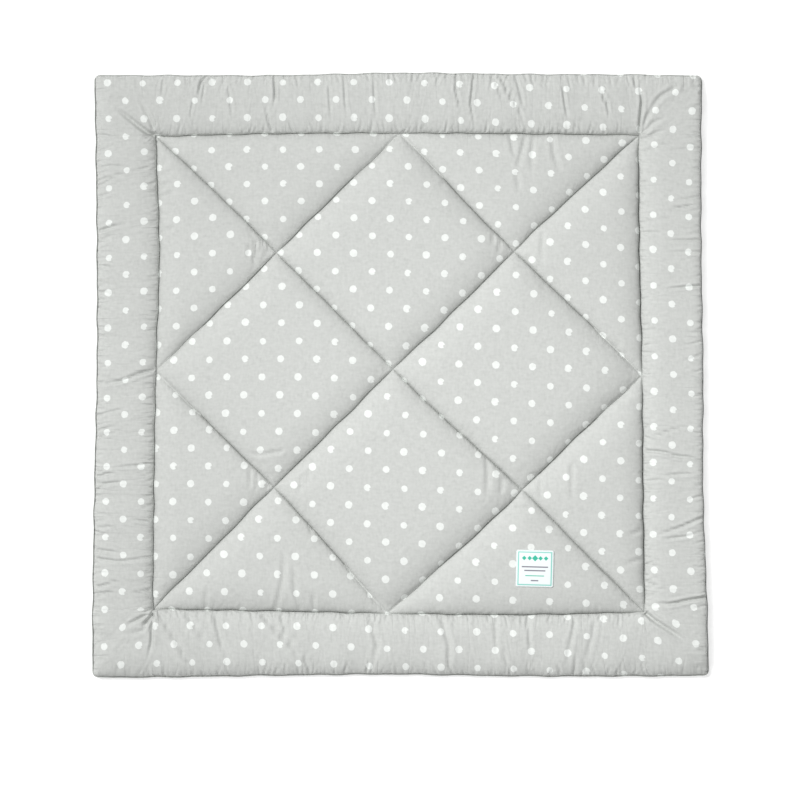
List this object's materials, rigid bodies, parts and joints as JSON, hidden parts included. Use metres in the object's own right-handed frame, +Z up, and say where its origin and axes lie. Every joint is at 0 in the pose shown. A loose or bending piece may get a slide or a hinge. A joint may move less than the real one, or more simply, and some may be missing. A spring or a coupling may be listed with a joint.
{
  "type": "changing mat",
  "caption": "Square padded mat of dotted cotton, quilted in squares and triangles inside a stitched frame, with a plain padded border and a small sewn-on label.",
  "frame": {"origin": "on the surface that the mat lies on, under the middle of its outline", "axes": "+Z up through the mat, +Y towards its head edge, +X to its right-hand edge seen from above"},
  "size_m": [1.0188, 1.0002, 0.031],
  "materials": {
    "cotton": "light grey plain-woven cotton printed with staggered white dots, matt",
    "label": "white satin ribbon with a thin green-blue line inside its edge"
  },
  "bodies": {
    "root": {"mat": "cotton", "label": "label"}
  },
  "joints": []
}
